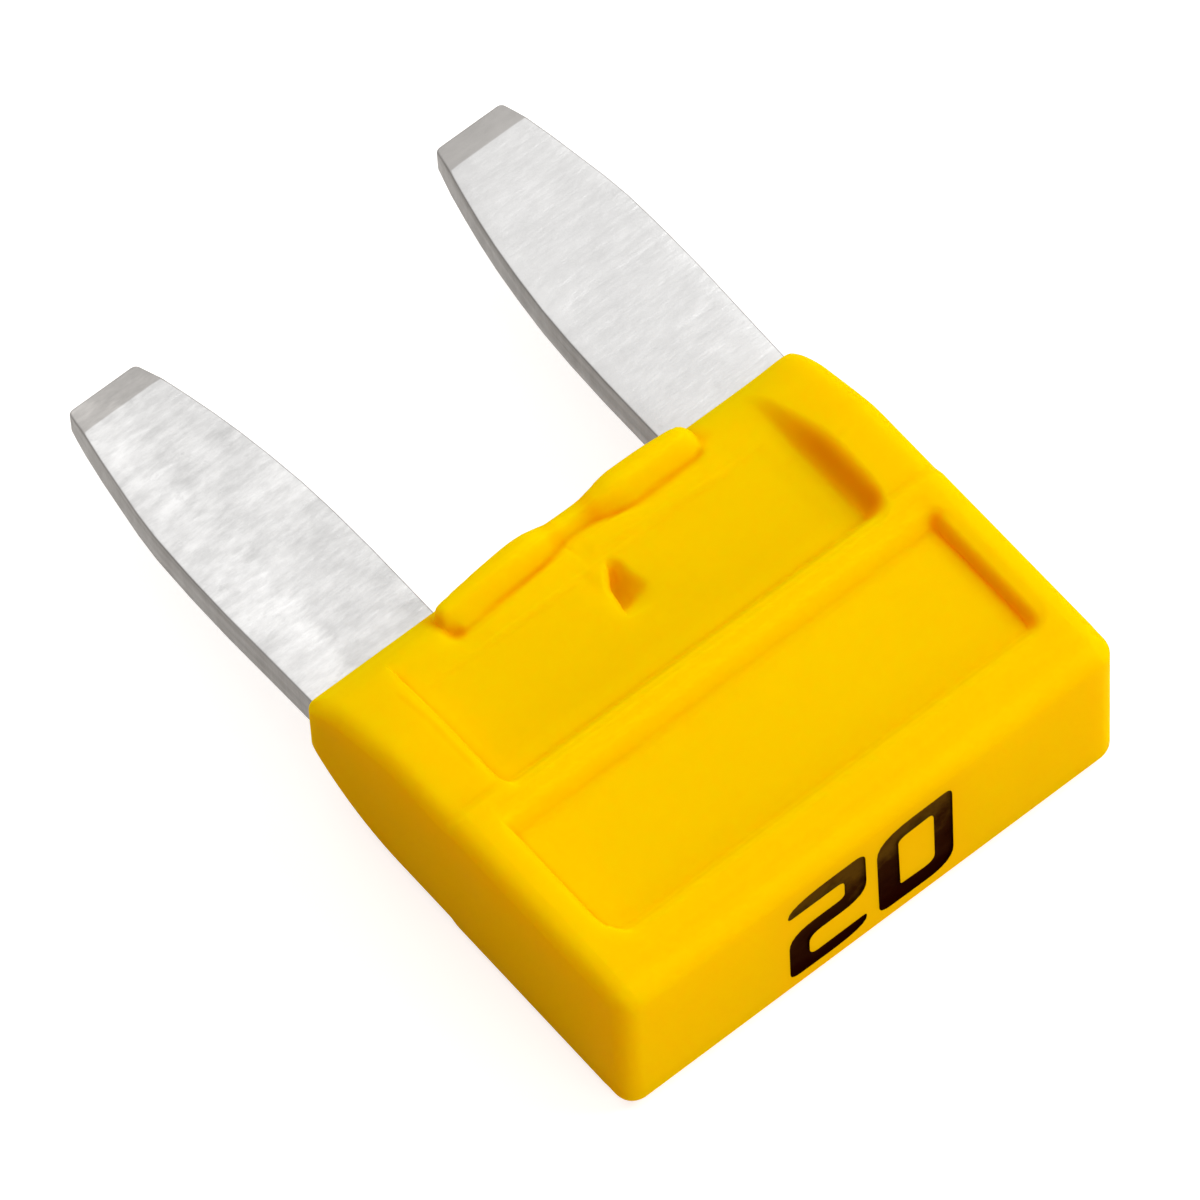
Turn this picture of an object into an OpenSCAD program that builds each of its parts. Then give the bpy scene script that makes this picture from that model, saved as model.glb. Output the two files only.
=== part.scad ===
// Mini automotive blade fuse, 20 A.
// A one-piece yellow housing holds a stamped metal element with two flat blades.
// It lies on a broad face: X runs across the blades, +Y points to the blade tips, Z is up.
// All sizes are in millimetres. The origin is the middle of the underside of the whole part.

/* [Housing] */
// Width of the housing across both blades
body_w = 10.9; // [10.2:0.1:12.5]
// Length of the housing from its number end to its blade end
body_len = 8.6; // [8.2:0.1:10.5]
// Thickness of the housing between its two broad faces
body_t = 3.8; // [3.5:0.1:4.6]
// Radius of the four upright corners
corner_r = 0.4; // [0.2:0.05:0.8]
// Radius of the edges along the sides and the number end
edge_r = 0.3; // [0.1:0.05:0.5]
// Length over which each broad face curves down to the blade end
slope_len = 2.4; // [1.6:0.1:3]
// Drop of each broad face at the blade end
slope_drop = 1.15; // [0.8:0.05:1.2]
// Radius of the edges around the blade end
nose_r = 0.25; // [0.1:0.05:0.45]
// Step down from the number half to the blade half of each broad face
half_step = 0.1; // [0.05:0.01:0.2]

/* [Panels] */
// Width of the band between the number end and the bare panel
end_band = 1.25; // [0.9:0.05:1.5]
// Length of the bare panel along the housing
bare_len = 2.9; // [2.2:0.1:3.4]
// Width of the rims beside the bare panel
bare_rim = 0.82; // [0.6:0.02:1.2]
// Depth of the bare panel
bare_depth = 0.35; // [0.2:0.05:0.5]
// Width of the rib between the two panels
rib_w = 0.72; // [0.6:0.02:1.2]
// Radius that rounds the top of the rib
rib_r = 0.28; // [0.1:0.02:0.34]
// Width of the rims beside the blade-half panel
deep_rim = 1.15; // [0.9:0.05:1.4]
// Depth of the blade-half panel, below the number half
deep_depth = 0.65; // [0.55:0.05:0.7]
// Run of a panel wall from its top to its floor, for draft
wall_run = 0.1; // [0.04:0.01:0.2]
// Radius of the lips around the panels
lip_r = 0.1; // [0.05:0.01:0.2]
// Radius of the corners of the panels, seen from above
panel_r = 0.3; // [0.15:0.05:0.5]

/* [Bead and gate mark] */
// Radius of the two swellings of the bead, next to the neck
bead_r = 0.36; // [0.3:0.01:0.4]
// Radius of the swellings at their outer ends
bead_low_r = 0.25; // [0.2:0.01:0.3]
// Radius of the thin neck between the two swellings
neck_r = 0.24; // [0.2:0.01:0.28]
// Distance of the swellings' middle line from the blade end
bead_back = 0.38; // [0.36:0.02:0.5]
// Distance of the neck's middle line from the blade end
neck_back = 0.32; // [0.3:0.02:0.5]
// Depth of the swellings' middle line below the panel floor
bead_sink = 0.1; // [0:0.02:0.16]
// Where the bead starts, left of the middle
bead_left = 2.8; // [2.2:0.05:3.2]
// Where the bead ends, right of the middle
bead_right = 2.75; // [2.2:0.05:3.2]
// Where the neck starts, left of the middle
neck_left = 0.45; // [0.2:0.05:1]
// Where the neck ends, right of the middle
neck_right = 0.95; // [0.4:0.05:1.3]
// Distance of the gate mark from the blade end
gate_back = 2; // [1.6:0.05:2.5]
// Radius of the gate mark at the panel floor
gate_r = 0.4; // [0.25:0.01:0.6]
// Depth of the gate mark
gate_depth = 0.3; // [0.15:0.05:0.35]

/* [Cavity] */
// Thickness of the wall between the cavity and the number end
end_wall = 1.3; // [0.9:0.1:2]
// Clearance around the element in its slots
slot_gap = 0.05; // [0.02:0.01:0.08]
// Height of the chamber around the fusible link
chamber_h = 1; // [0.95:0.05:1.1]
// Width of the land that guides each tab beside the chamber
tab_land = 0.2; // [0.1:0.05:0.4]

/* [Fuse element] */
// Width of each blade
blade_w = 2.72; // [2.5:0.02:2.9]
// Thickness of the blades and tabs
blade_t = 0.8; // [0.6:0.05:0.9]
// Length of the blades outside the housing
blade_out = 7.4; // [6.4:0.1:9]
// Distance of each blade's outer edge inside the side of the housing
blade_inset = 0.16; // [0.1:0.01:0.3]
// Width of each tab inside the housing
tab_w = 2.05; // [1.8:0.05:2.2]
// Width of each blade at its tip
tip_w = 1.44; // [1.2:0.02:1.8]
// Length of the rounded taper on the inner edge of each blade
inner_taper = 5.3; // [4:0.1:5.6]
// Length of the rounded taper on the outer edge of each blade
outer_taper = 3.4; // [2.4:0.1:4.5]
// Share of the narrowing at the tip that is on the inner edge
inner_share = 0.62; // [0.4:0.02:0.7]
// Length of the coined bevel at each tip
bevel_len = 0.58; // [0.4:0.02:1]
// Drop of each face of a blade over the bevel
bevel_drop = 0.14; // [0.08:0.01:0.22]
// Width of the fusible link
link_w = 0.5; // [0.35:0.05:0.6]
// Thickness of the fusible link
link_t = 0.35; // [0.25:0.05:0.5]
// Radius of the two bends of the fusible link
link_bend = 0.75; // [0.6:0.05:0.85]
// Distance of the link's first bar from the closed end of the cavity
link_back = 0.7; // [0.5:0.05:1]
// Space between the link's bends and the tabs
link_side = 0.7; // [0.5:0.05:0.9]

/* [Rating digits] */
// Width of each digit
digit_w = 1.7; // [1.4:0.05:2]
// Height of each digit
digit_h = 2.55; // [2:0.05:2.8]
// Width of the strokes of the digits
stroke = 0.46; // [0.36:0.02:0.5]
// Space between the two digits
digit_gap = 0.22; // [0.14:0.02:0.4]
// Height of the digits' foot above the underside
digit_foot = 0.6; // [0.4:0.05:0.8]
// Depth of the pocket pressed into the plastic by the hot stamp
stamp_depth = 0.06; // [0.04:0.01:0.1]
// Thickness of the ink in the pocket
ink_t = 0.04; // [0.02:0.01:0.04]

/* [Hidden] */
$fn = 48;
arc_steps = 6;
blade_arc_steps = 14;
cut_over = 1;
overall_len = body_len + blade_out;
mid_z = body_t / 2;
end_y = -overall_len / 2;
nose_y = end_y + body_len;
tip_y = nose_y + blade_out;
bare_y = end_y + end_band;
rib_y = bare_y + bare_len;
deep_y = rib_y + rib_w;
deep_floor = body_t - deep_depth;
half_z = body_t - half_step;
slope_y = nose_y - slope_len;
slope_rise = slope_drop - half_step;
slope_r = (slope_len * slope_len + slope_rise * slope_rise) / (2 * slope_rise);
nose_angle = asin((slope_len - nose_r) / (slope_r - nose_r));
nose_z = half_z - slope_r + (slope_r - nose_r) * cos(nose_angle);
blade_in = body_w / 2 - blade_inset - blade_w;
blade_outer = blade_in + blade_w;
tab_outer = blade_in + tab_w;
cavity_y = end_y + end_wall;
link_y = cavity_y + link_back;
link_x = blade_in - link_side - link_w / 2 - link_bend;

// Points on an arc round (cx, cy) from angle a0 to angle a1
function arc(cx, cy, r, a0, a1, steps = arc_steps) =
    [for (i = [0 : steps]) let (a = a0 + (a1 - a0) * i / steps) [cx + r * cos(a), cy + r * sin(a)]];

// Rectangle from (x0, y0) to (x1, y1) with rounded corners
function round_rect(x0, y0, x1, y1, r) = concat(
    arc(x0 + r, y0 + r, r, 180, 270),
    arc(x1 - r, y0 + r, r, 270, 360),
    arc(x1 - r, y1 - r, r, 0, 90),
    arc(x0 + r, y1 - r, r, 90, 180));

// The same points, turned upside down about the middle of the thickness
function flipped(points) = [for (i = [len(points) - 1 : -1 : 0]) [points[i][0], body_t - points[i][1]]];

// Upper half of the side view of the housing, from the number end to the blade end
function side_top() = concat(
    arc(end_y + edge_r, body_t - edge_r, edge_r, 180, 90),
    [[deep_y - half_step, body_t], [deep_y, half_z]],
    arc(slope_y, half_z - slope_r, slope_r, 90, 90 - nose_angle),
    arc(nose_y - nose_r, nose_z, nose_r, 90 - nose_angle, 0));

// Cut for a panel: floor, drafted walls and rounded lips, open at the top
function panel_cut(a0, a1, floor_z, lip0, lip1) = concat(
    [[a0 - lip0, body_t + cut_over]],
    arc(a0 - lip0, body_t - lip0, lip0, 90, 0),
    [[a0 + wall_run, floor_z], [a1 - wall_run, floor_z]],
    arc(a1 + lip1, body_t - lip1, lip1, 180, 90),
    [[a1 + lip1, body_t + cut_over]]);

// Extrude a side view, given as (y, z), across the whole part
module across(points) {
    rotate([90, 0, 90])
        linear_extrude(2 * body_w, center = true)
            polygon(points);
}

// Extrude an end view, given as (x, z), along the whole part
module along(points) {
    rotate([90, 0, 0])
        linear_extrude(4 * overall_len, center = true)
            polygon(points);
}

// Outer form of the housing: plan, side view and end view in one
module housing_block() {
    intersection() {
        linear_extrude(body_t)
            polygon(round_rect(-body_w / 2, end_y, body_w / 2, nose_y, corner_r));
        across(concat(side_top(), flipped(side_top())));
        along(round_rect(-body_w / 2, 0, body_w / 2, body_t, edge_r));
    }
}

// Bare panel between the number end and the rib
module bare_panel() {
    half_w = body_w / 2 - bare_rim;
    intersection() {
        across(panel_cut(bare_y, rib_y, body_t - bare_depth, lip_r, rib_r));
        along(panel_cut(-half_w, half_w, body_t - bare_depth, lip_r, lip_r));
        linear_extrude(body_t + cut_over)
            polygon(round_rect(-half_w - lip_r, bare_y - lip_r, half_w + lip_r, rib_y + rib_r, panel_r));
    }
}

// Deeper panel that runs from the rib out over the blade end
module deep_panel() {
    half_w = body_w / 2 - deep_rim;
    out_y = nose_y + body_w;
    intersection() {
        across(panel_cut(deep_y, out_y, deep_floor, rib_r, lip_r));
        along(panel_cut(-half_w, half_w, deep_floor, lip_r, lip_r));
        linear_extrude(body_t + cut_over)
            polygon(round_rect(-half_w - lip_r, deep_y - rib_r, half_w + lip_r, out_y, panel_r));
    }
}

// Both panels, as cut into one broad face
module panels() {
    bare_panel();
    deep_panel();
}

// Swelling of the bead: a slim cone along X with ball ends, highest next to the neck
module swelling(inner_x, outer_x, y, z) {
    inner_c = inner_x + bead_r;
    outer_c = outer_x - bead_low_r;
    translate([inner_c, y, z])
        rotate([0, 90, 0])
            cylinder(h = outer_c - inner_c, r1 = bead_r, r2 = bead_low_r);
    translate([inner_c, y, z])
        sphere(bead_r);
    translate([outer_c, y, z])
        sphere(bead_low_r);
}

// Raised bead on the edge of the blade end, with two swellings and a neck
module bead() {
    bead_y = nose_y - bead_back;
    bead_z = deep_floor - bead_sink;
    mirror([1, 0, 0])
        swelling(neck_left, bead_left, bead_y, bead_z);
    swelling(neck_right, bead_right, bead_y, bead_z);
    translate([-neck_left - bead_r, nose_y - neck_back, bead_z - bead_sink])
        rotate([0, 90, 0])
            cylinder(h = neck_left + neck_right + 2 * bead_r, r = neck_r);
}

// Small conical dimple where the plastic was injected
module gate_mark() {
    translate([0, nose_y - gate_back, deep_floor - gate_depth])
        cylinder(h = gate_depth + cut_over, r1 = 0, r2 = gate_r * (1 + cut_over / gate_depth));
}

// Space for the element: two flat slots and a higher chamber, open at the blade end
module cavity() {
    slot_half = tab_outer + slot_gap;
    slot_h = blade_t + 2 * slot_gap;
    chamber_half = blade_in - tab_land;
    translate([-slot_half, cavity_y, mid_z - slot_h / 2])
        cube([2 * slot_half, body_len, slot_h]);
    translate([-chamber_half, cavity_y, mid_z - chamber_h / 2])
        cube([2 * chamber_half, body_len, chamber_h]);
}

// One-piece moulded housing
module housing() {
    color([0.98, 0.8, 0.0])
        difference() {
            union() {
                difference() {
                    housing_block();
                    panels();
                    translate([0, 0, body_t])
                        mirror([0, 0, 1])
                            panels();
                }
                bead();
            }
            gate_mark();
            cavity();
            digits(stamp_depth);
        }
}

// Edge of a blade: straight, then one arc that is tangent to it and moves in by rise
function edge_arc(x, inward, rise, run) =
    let (r = (run * run + rise * rise) / (2 * rise), sweep = asin(run / r))
        [for (i = [0 : blade_arc_steps])
            let (a = sweep * i / blade_arc_steps)
                [x + inward * r * (1 - cos(a)), tip_y - run + r * sin(a)]];

// Outline of the right tab and blade, seen from above
function blade_outline() =
    let (inner_in = (blade_w - tip_w) * inner_share,
         outer_in = (blade_w - tip_w) * (1 - inner_share),
         inner = edge_arc(blade_in, 1, inner_in, inner_taper),
         outer = edge_arc(blade_outer, -1, outer_in, outer_taper))
        concat([[blade_in, cavity_y]],
            inner,
            [for (i = [blade_arc_steps : -1 : 0]) outer[i]],
            [[blade_outer, nose_y], [tab_outer, nose_y], [tab_outer, cavity_y]]);

// Side view of a tab and blade, with the coined bevel at the tip
function blade_side() = [
    [cavity_y, mid_z - blade_t / 2],
    [tip_y - bevel_len, mid_z - blade_t / 2],
    [tip_y, mid_z - blade_t / 2 + bevel_drop],
    [tip_y, mid_z + blade_t / 2 - bevel_drop],
    [tip_y - bevel_len, mid_z + blade_t / 2],
    [cavity_y, mid_z + blade_t / 2]];

// Right tab and blade
module blade() {
    intersection() {
        linear_extrude(body_t)
            polygon(blade_outline());
        across(blade_side());
    }
}

// One side of the S-shaped link, at distance d from its middle line
function link_edge(d) = concat(
    [[-blade_in - tab_land, link_y + 4 * link_bend + d]],
    arc(link_x, link_y + 3 * link_bend, link_bend + d, 90, -90),
    arc(-link_x, link_y + link_bend, link_bend - d, 90, 270),
    [[blade_in + tab_land, link_y + d]]);

// Narrow link that melts when the current is too high
module fusible_link() {
    far_edge = link_edge(-link_w / 2);
    translate([0, 0, mid_z - link_t / 2])
        linear_extrude(link_t)
            polygon(concat(link_edge(link_w / 2), [for (i = [len(far_edge) - 1 : -1 : 0]) far_edge[i]]));
}

// One-piece stamped element: two blades, their tabs and the link. It rests on the right wall of its slots
module fuse_element() {
    color([0.82, 0.82, 0.8])
        translate([slot_gap, 0, 0])
            union() {
                blade();
                mirror([1, 0, 0])
                    blade();
                fusible_link();
            }
}

// Outline of the digit 0, in its own width and height
function zero_outer() = [
    [0.1 * digit_w, 0], [0.75 * digit_w, 0], [digit_w, 0.14 * digit_h],
    [digit_w, 0.95 * digit_h], [0.92 * digit_w, digit_h], [0.3 * digit_w, digit_h],
    [0, 0.86 * digit_h], [0, 0.05 * digit_h]];

// Opening of the digit 0
function zero_inner() =
    let (x0 = stroke, x1 = digit_w - stroke, z0 = stroke, z1 = digit_h - stroke, c = stroke / 4)
        [[x0 + c / 2, z0], [x1 - c, z0], [x1, z0 + c], [x1, z1 - c / 2],
         [x1 - c / 2, z1], [x0 + c, z1], [x0, z1 - c], [x0, z0 + c / 2]];

// Outline of the digit 2, as one bent stroke
function two_outline() =
    let (w = digit_w, h = digit_h, s = stroke, m = (h - s) / 2, c = s / 5, k = 0.7 * s)
        [[c, 0], [w - k, 0], [w, 0.8 * s], [w - c, s], [s + c, s], [s, s + c], [s, m - c], [s + c, m],
         [w - k, m], [w, m + k], [w, h - 1.3 * c], [w - 1.3 * c, h], [k, h], [0, h - k], [c, h - s],
         [w - s - c, h - s], [w - s, h - s - c], [w - s, m + s + c], [w - s - c, m + s],
         [k, m + s], [0, m + s - k], [0, c]];

// Both digits on the number end, reaching depth into the plastic from the face
module digits(depth, cover = 0) {
    for (side = [0, 1])
        translate([side * (digit_w + digit_gap) - digit_w - digit_gap / 2, end_y + depth, digit_foot])
            rotate([90, 0, 0])
                linear_extrude(depth - cover)
                    if (side == 0)
                        polygon(two_outline());
                    else
                        difference() {
                            polygon(zero_outer());
                            polygon(zero_inner());
                        }
}

// Black stamped ink of the number 20
module rating_digits() {
    color([0.13, 0.07, 0.03])
        digits(stamp_depth, stamp_depth - ink_t);
}

housing();
fuse_element();
rating_digits();
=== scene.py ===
import math

import bpy
import numpy as np
from mathutils import Matrix, Vector
from mathutils.geometry import delaunay_2d_cdt


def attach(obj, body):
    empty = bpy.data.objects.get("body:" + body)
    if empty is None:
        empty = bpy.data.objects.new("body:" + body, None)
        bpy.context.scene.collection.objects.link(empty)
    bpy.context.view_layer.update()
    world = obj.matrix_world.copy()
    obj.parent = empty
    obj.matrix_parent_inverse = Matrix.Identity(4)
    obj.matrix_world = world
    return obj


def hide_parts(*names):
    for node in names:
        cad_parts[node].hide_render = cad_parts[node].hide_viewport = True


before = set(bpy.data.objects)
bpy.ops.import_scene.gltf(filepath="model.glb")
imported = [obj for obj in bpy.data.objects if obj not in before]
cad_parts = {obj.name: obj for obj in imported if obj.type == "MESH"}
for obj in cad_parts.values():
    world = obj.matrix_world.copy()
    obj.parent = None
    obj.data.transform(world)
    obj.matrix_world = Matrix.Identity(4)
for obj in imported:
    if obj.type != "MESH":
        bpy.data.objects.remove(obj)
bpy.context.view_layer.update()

# All lengths below are in millimetres. MM turns them into metres when a mesh is made
MM = 0.001

# Main sizes of the part, the same as in the CAD. END_Y is the number end, NOSE_Y the blade end of the housing and
# TIP_Y the tips of the blades. Inside the functions for the housing, y starts from 0 at the number end
END_Y = -8.0
BODY_LEN = 8.6
NOSE_Y = END_Y + BODY_LEN
TIP_Y = 8.0
HALF_W = 5.45
BODY_T = 3.8
CORNER = 0.4
EDGE_R = 0.36
NOSE_R = 0.25
BLADE_TOP, BLADE_BOTTOM = 2.3, 1.5

# The blade half of the housing lies STEP lower, and from SLOPE_Y on it curves down towards the blade end
STEP = 0.09
SLOPE_Y = 6.2
SLOPE_LEN = 2.4
SLOPE_R = 3.268
SLOPE_TOP = 3.7

# Heights of the floors of the two panels
BARE_FLOOR = 3.45
DEEP_FLOOR = 3.15


# Camera, fitted to the photograph's outline

def add_camera():
    az, el, roll = math.radians(-36.34), math.radians(60.313), math.radians(-3.549)
    back = Vector((math.sin(az) * math.cos(el), -math.cos(az) * math.cos(el), math.sin(el)))
    right = Vector((math.cos(az), math.sin(az), 0.0))
    up = back.cross(right)
    cam_x = right * math.cos(roll) + up * math.sin(roll)
    cam_y = up * math.cos(roll) - right * math.sin(roll)
    aim, distance, shift_x, shift_y = Vector((0.0, 0.1, 1.9)), 240.0, 0.4883, -0.5941
    place = aim + back * distance + cam_x * shift_x + cam_y * shift_y
    data = bpy.data.cameras.new("camera")
    data.lens = 418.9
    data.sensor_width = 36.0
    data.clip_start = 0.01
    data.clip_end = 20.0
    cam = bpy.data.objects.new("camera", data)
    turn = Matrix((cam_x, cam_y, back)).transposed().to_4x4()
    cam.matrix_world = Matrix.Translation(place * MM) @ turn
    bpy.context.collection.objects.link(cam)
    bpy.context.scene.camera = cam


# Lamps, world and floor

def add_area(name, place, target, size, watts, glossy=False):
    data = bpy.data.lights.new(name, "AREA")
    data.shape = "RECTANGLE"
    data.size, data.size_y = size
    data.energy = watts
    lamp = bpy.data.objects.new(name, data)
    place, target = Vector(place), Vector(target)
    lamp.location = place
    lamp.rotation_euler = (target - place).to_track_quat("-Z", "Y").to_euler()
    lamp.visible_glossy = glossy
    bpy.context.collection.objects.link(lamp)


def add_lights():
    add_area("key", (0.37, -0.12, 0.42), (0, 0, 0), (0.34, 0.34), 2.02, glossy=True)
    add_area("overhead", (-0.03, 0.36, 0.47), (0, 0, 0), (0.50, 0.50), 1.79)
    add_area("front", (0.12, -0.50, 0.16), (0, 0, 0.002), (0.40, 0.24), 1.04)
    world = bpy.data.worlds.new("studio")
    bpy.context.scene.world = world
    world.use_nodes = True
    tree = world.node_tree
    tree.nodes.clear()
    out = tree.nodes.new("ShaderNodeOutputWorld")
    mix = tree.nodes.new("ShaderNodeMixShader")
    # The world lights the part softly, but is seen as white
    soft = tree.nodes.new("ShaderNodeBackground")
    seen = tree.nodes.new("ShaderNodeBackground")
    soft.inputs["Color"].default_value = (1.0, 0.75, 0.50, 1.0)
    soft.inputs["Strength"].default_value = 0.25
    seen.inputs["Color"].default_value = (1.0, 1.0, 1.0, 1.0)
    seen.inputs["Strength"].default_value = 1.0
    tree.links.new(ray_mask(tree), mix.inputs[0])
    tree.links.new(soft.outputs[0], mix.inputs[1])
    tree.links.new(seen.outputs[0], mix.inputs[2])
    tree.links.new(mix.outputs[0], out.inputs["Surface"])


def ray_mask(tree):
    """1 where the surroundings are seen, directly or in a reflection, and 0 where they only light the part."""
    path = tree.nodes.new("ShaderNodeLightPath")
    value = path.outputs["Is Camera Ray"]
    for name in ("Is Glossy Ray", "Is Transmission Ray"):
        value = math_node(tree, "MAXIMUM", value, path.outputs[name])
    return value


def add_floor():
    """White paper that glows where it is seen, and throws a warm light on the part."""
    half = 1.5
    mesh = bpy.data.meshes.new("floor")
    mesh.from_pydata([(-half, -half, 0), (half, -half, 0), (half, half, 0), (-half, half, 0)], [], [(0, 1, 2, 3)])
    floor = bpy.data.objects.new("floor", mesh)
    bpy.context.collection.objects.link(floor)
    mat = bpy.data.materials.new("floor_paper")
    mat.use_nodes = True
    tree = mat.node_tree
    tree.nodes.clear()
    out = tree.nodes.new("ShaderNodeOutputMaterial")
    paper = tree.nodes.new("ShaderNodeBsdfDiffuse")
    glow = tree.nodes.new("ShaderNodeEmission")
    both = tree.nodes.new("ShaderNodeAddShader")
    seen = ray_mask(tree)
    tree.links.new(mix_colour(tree, seen, (0.78, 0.51, 0.30, 1.0), grey(0.55)), paper.inputs["Color"])
    tree.links.new(multiply(tree, seen, 0.73), glow.inputs["Strength"])
    tree.links.new(paper.outputs[0], both.inputs[0])
    tree.links.new(glow.outputs[0], both.inputs[1])
    tree.links.new(both.outputs[0], out.inputs["Surface"])
    mesh.materials.append(mat)


# Helpers for smooth forms

def smooth_min(a, b, k):
    """The lower of a and b, blended over a difference of k."""
    h = np.clip(0.5 + 0.5 * (b - a) / k, 0.0, 1.0)
    return b * (1 - h) + a * h - k * h * (1 - h)


def smooth_max(a, b, k):
    return -smooth_min(-a, -b, k)


def ease(t):
    t = np.clip(t, 0.0, 1.0)
    return t * t * (3 - 2 * t)


def curve(t, xs, ys):
    """Smooth curve through the points (xs, ys), with no overshoot."""
    xs, ys = np.array(xs, float), np.array(ys, float)
    d = np.diff(ys) / np.diff(xs)
    both = d[:-1] * d[1:]
    inner = np.where(both > 0, 2 * both / np.where(both > 0, d[:-1] + d[1:], 1), 0)
    m = np.concatenate([[d[0]], inner, [d[-1]]])
    t = np.clip(t, xs[0], xs[-1])
    i = np.clip(np.searchsorted(xs, t) - 1, 0, len(xs) - 2)
    h = xs[i + 1] - xs[i]
    u = (t - xs[i]) / h
    return (ys[i] * (1 + 2 * u) * (1 - u) ** 2 + ys[i + 1] * u * u * (3 - 2 * u)
            + h * (m[i] * u * (1 - u) ** 2 - m[i + 1] * u * u * (1 - u)))


def hump(x, y, cx, cy, rx, ry):
    return np.exp(-((x - cx) / rx) ** 2 - ((y - cy) / ry) ** 2)


def lines(start, *parts):
    """Values from start on, through parts of (stop, step)."""
    values = [start]
    for stop, step in parts:
        n = max(1, round((stop - values[-1]) / step))
        values += list(np.linspace(values[-1], stop, n + 1)[1:])
    return values


def make_object(name, verts, faces, smooth_angle):
    """Mesh object with smooth shading, apart from edges sharper than the angle in degrees."""
    mesh = bpy.data.meshes.new(name)
    mesh.from_pydata([tuple(c * MM for c in v) for v in verts], [], faces)
    mesh.validate()
    mesh.polygons.foreach_set("use_smooth", [True] * len(mesh.polygons))
    mesh.set_sharp_from_angle(angle=math.radians(smooth_angle))
    mesh.update()
    obj = bpy.data.objects.new(name, mesh)
    bpy.context.collection.objects.link(obj)
    return obj


def inside(px, pz, loop):
    """Whether the point (px, pz) lies inside the loop."""
    hit = False
    for i in range(len(loop)):
        (x0, z0), (x1, z1) = loop[i - 1], loop[i]
        if (z0 > pz) != (z1 > pz) and px < (x1 - x0) * (pz - z0) / (z1 - z0) + x0:
            hit = not hit
    return hit


def fill_plane(outer, holes):
    """Triangles between an outer loop and hole loops. Indices run through outer, then each hole."""
    loops = [outer] + holes
    points = [Vector(p) for loop in loops for p in loop]
    edges, start = [], 0
    for loop in loops:
        n = len(loop)
        edges += [(start + i, start + (i + 1) % n) for i in range(n)]
        start += n
    coords, _, faces, origin, _, _ = delaunay_2d_cdt(points, edges, [], 0, 1e-7)
    kept = []
    for face in faces:
        cx = sum(coords[i].x for i in face) / 3
        cz = sum(coords[i].y for i in face) / 3
        if inside(cx, cz, outer) and not any(inside(cx, cz, h) for h in holes):
            kept.append([origin[i][0] for i in face])
    return kept


def round_loop(corners):
    """Closed loop with each corner (x, z, reach before it, reach after it) replaced by a round one."""
    out, n, steps = [], len(corners), 6
    for i in range(n):
        p = Vector(corners[i][:2])
        a = Vector(corners[i - 1][:2]) - p
        b = Vector(corners[(i + 1) % n][:2]) - p
        a, b = a.normalized() * corners[i][2], b.normalized() * corners[i][3]
        for k in range(steps + 1):
            t = k / steps
            out.append(tuple(p + a * (1 - t) ** 2 + b * t ** 2))
    return out


def shrink(loop, amount):
    """The same loop moved to its own inside by amount. The loop runs counter-clockwise."""
    n, out = len(loop), []
    for i in range(n):
        p, a, b = Vector(loop[i]), Vector(loop[i - 1]), Vector(loop[(i + 1) % n])
        d = (p - a).normalized() + (b - p).normalized()
        d.normalize()
        out.append(tuple(p + Vector((-d.y, d.x)) * amount))
    return out


def lay(verts, faces, ids, flip=False):
    """Add a face that lies across y, turned towards the number end, or away from it with flip."""
    (ax, _, az), (bx, _, bz), (cx, _, cz) = (verts[v] for v in ids[:3])
    turn = (bx - ax) * (cz - az) - (bz - az) * (cx - ax)
    faces.append(tuple(ids) if (turn > 0) != flip else tuple(reversed(ids)))


def skin(faces, rings, flip=False):
    """Add the faces between rings of vertices, one ring after the other."""
    for a, b in zip(rings, rings[1:]):
        for k in range(len(a)):
            j = (k + 1) % len(a)
            quad = (a[k], a[j], b[j], b[k])
            faces.append(tuple(reversed(quad)) if flip else quad)


# Housing: one smooth mesh, made from height fields over a grid that bends round the corners

# How far the upper face has come down on its way to the blade end
TOP_Y = [6.2, 6.45, 6.75, 7.1, 7.5, 7.8, 8.0, 8.2, 8.4, 8.6]
TOP_Z = [0.0, 0.015, 0.09, 0.20, 0.335, 0.44, 0.55, 0.70, 0.87, 1.07]

# Radius of the bead along x, and length of the slope at its back
BEAD_X = [-2.84, -2.76, -2.66, -2.4, -2.08, -1.5, -0.95, -0.7, -0.45, -0.2, 0.15, 0.45, 0.7, 0.95, 1.2, 1.7,
          2.2, 2.5, 2.68, 2.78, 2.86]
BEAD_R = [0.03, 0.15, 0.20, 0.235, 0.27, 0.325, 0.355, 0.34, 0.29, 0.245, 0.235, 0.245, 0.28, 0.335, 0.365, 0.36,
          0.335, 0.31, 0.27, 0.18, 0.03]
FOOT_X = [-2.84, -2.72, -2.5, -1.46, -0.6, -0.1, 0.4, 0.8, 1.3, 2.5, 2.74, 2.86]
FOOT = [0.30, 0.44, 0.50, 0.44, 0.34, 0.27, 0.27, 0.36, 0.48, 0.46, 0.40, 0.26]

# The pit of the moulding gate: its steep edge runs through (GATE_X, GATE_Y)
GATE_Y = [5.9, 6.15, 6.34, 6.45, 6.75, 7.22, 7.5]
GATE_X = [-0.30, -0.28, -0.24, -0.21, -0.155, 0.07, 0.07]
GATE_DEPTH = 0.36

# The slope ends in a rounded edge of radius NOSE_R: its angle where the round starts, and the height of its centre
NOSE_TURN = math.asin((SLOPE_LEN - NOSE_R) / (SLOPE_R - NOSE_R))
NOSE_Z = SLOPE_TOP - SLOPE_R + (SLOPE_R - NOSE_R) * math.cos(NOSE_TURN)


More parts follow.
